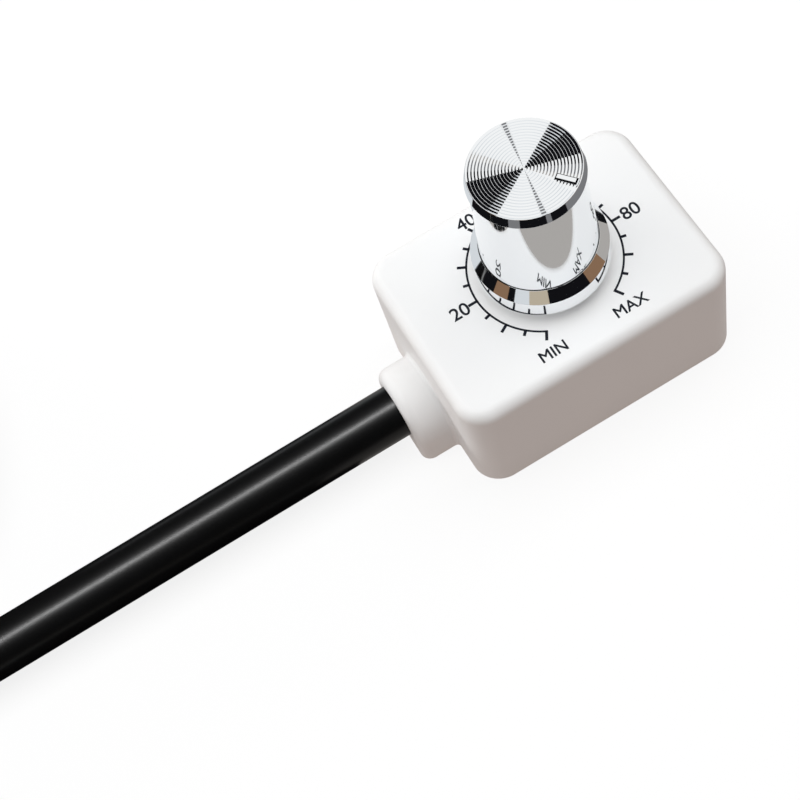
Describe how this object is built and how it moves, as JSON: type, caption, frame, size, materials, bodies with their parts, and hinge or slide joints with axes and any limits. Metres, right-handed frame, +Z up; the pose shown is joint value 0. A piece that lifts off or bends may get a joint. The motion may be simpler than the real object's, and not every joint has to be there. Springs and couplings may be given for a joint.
{
  "type": "rotary led dimmer control",
  "caption": "Small rounded box with a plated turning knob on a printed scale from MIN to MAX, and a round cable that leaves through an arched collar to a tied coil.",
  "frame": {"origin": "middle of the box's base, on the surface that it stands on", "axes": "+Z up through the knob, +X along the box away from the cable, -Y out of the long front face that the lettering is read from"},
  "size_m": [0.1814, 0.0981, 0.0408],
  "materials": {
    "shell_white": "satin white ABS",
    "knob_plating": "mirror plating on moulded ABS",
    "zinc_steel": "bright zinc",
    "shaft_alloy": "turned",
    "tinned_brass": "tinned",
    "phenolic": "paper laminate",
    "carrier_black": "moulded",
    "jacket_black": "matte PVC jacket",
    "tie_nylon": "nylon",
    "core_black": "PVC insulation",
    "core_white": "PVC insulation"
  },
  "bodies": {
    "housing": {"upper_shell": "shell_white", "bottom_cover": "shell_white", "cover_screws": "zinc_steel", "pot_frame": "zinc_steel", "pot_can": "zinc_steel", "pot_wafer": "phenolic", "pot_terminals": "tinned_brass", "pot_washer": "zinc_steel", "pot_nut": "zinc_steel", "cable_tail": "jacket_black", "tail_tie": "tie_nylon", "core_black": "core_black", "core_white": "core_white", "core_sleeves": "carrier_black", "cable": "jacket_black", "cable_coil": "jacket_black", "coil_tie": "tie_nylon", "lead_black": "core_black", "lead_white": "core_white", "lead_tips": "tinned_brass"},
    "control": {"knob": "knob_plating", "knob_insert": "carrier_black", "pot_shaft": "shaft_alloy", "shaft_clip": "zinc_steel", "pot_rotor": "carrier_black", "pot_wiper": "tinned_brass"}
  },
  "joints": [
    {"name": "knob_turn", "type": "hinge", "parent": "housing", "child": "control", "pos_m": [0.0004, 0.00092, 0.0187], "axis": [0, 0, 1], "range_deg": [0, 300]}
  ]
}
